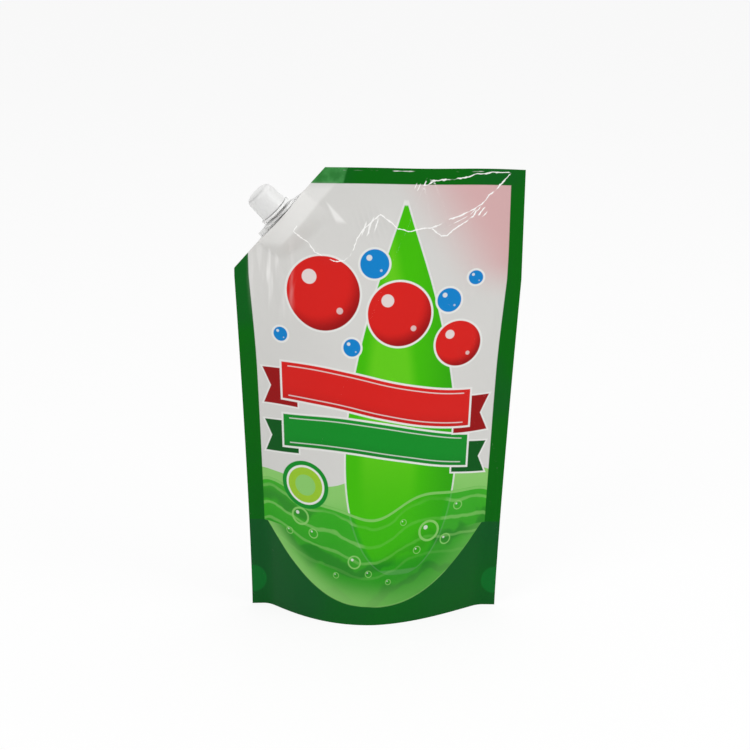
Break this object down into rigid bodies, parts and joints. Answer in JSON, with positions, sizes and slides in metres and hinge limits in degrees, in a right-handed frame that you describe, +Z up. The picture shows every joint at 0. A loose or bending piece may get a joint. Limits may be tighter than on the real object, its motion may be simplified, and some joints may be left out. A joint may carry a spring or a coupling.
{
  "type": "dish soap refill pouch",
  "caption": "Filled stand-up pouch of printed film with a bottom gusset, a cut upper corner, and a welded spout closed by a screw cap.",
  "frame": {"origin": "on the floor under the middle of the pouch", "axes": "+Z up along the height, +X across the width away from the spout's corner, +Y from front to back, so the front faces -Y"},
  "size_m": [0.179, 0.0654, 0.295],
  "materials": {
    "printed_film": "gloss laminate film with printed colour fields",
    "natural_plastic": "smooth milky polyethylene",
    "white_plastic": "smooth white moulding",
    "foam": "fine foamed disc"
  },
  "bodies": {
    "pouch_and_spout": {"pouch": "printed_film", "spout": "natural_plastic"},
    "sealing_disc": {"cap_liner": "foam"},
    "screw_cap": {"cap": "white_plastic"}
  },
  "joints": [
    {"name": "cap_rise", "type": "slide", "parent": "pouch_and_spout", "child": "sealing_disc", "axis": [-0.7073, 0, 0.7069], "range_m": [0, 0.014]},
    {"name": "cap_turn", "type": "hinge", "parent": "sealing_disc", "child": "screw_cap", "pos_m": [-0.06018, 0, 0.26394], "axis": [-0.7073, 0, 0.7069], "range_deg": [0, 1260]}
  ],
  "couplings": [
    {"joint": "cap_turn", "follows": "cap_rise", "rad_per_m": 1570.8}
  ]
}
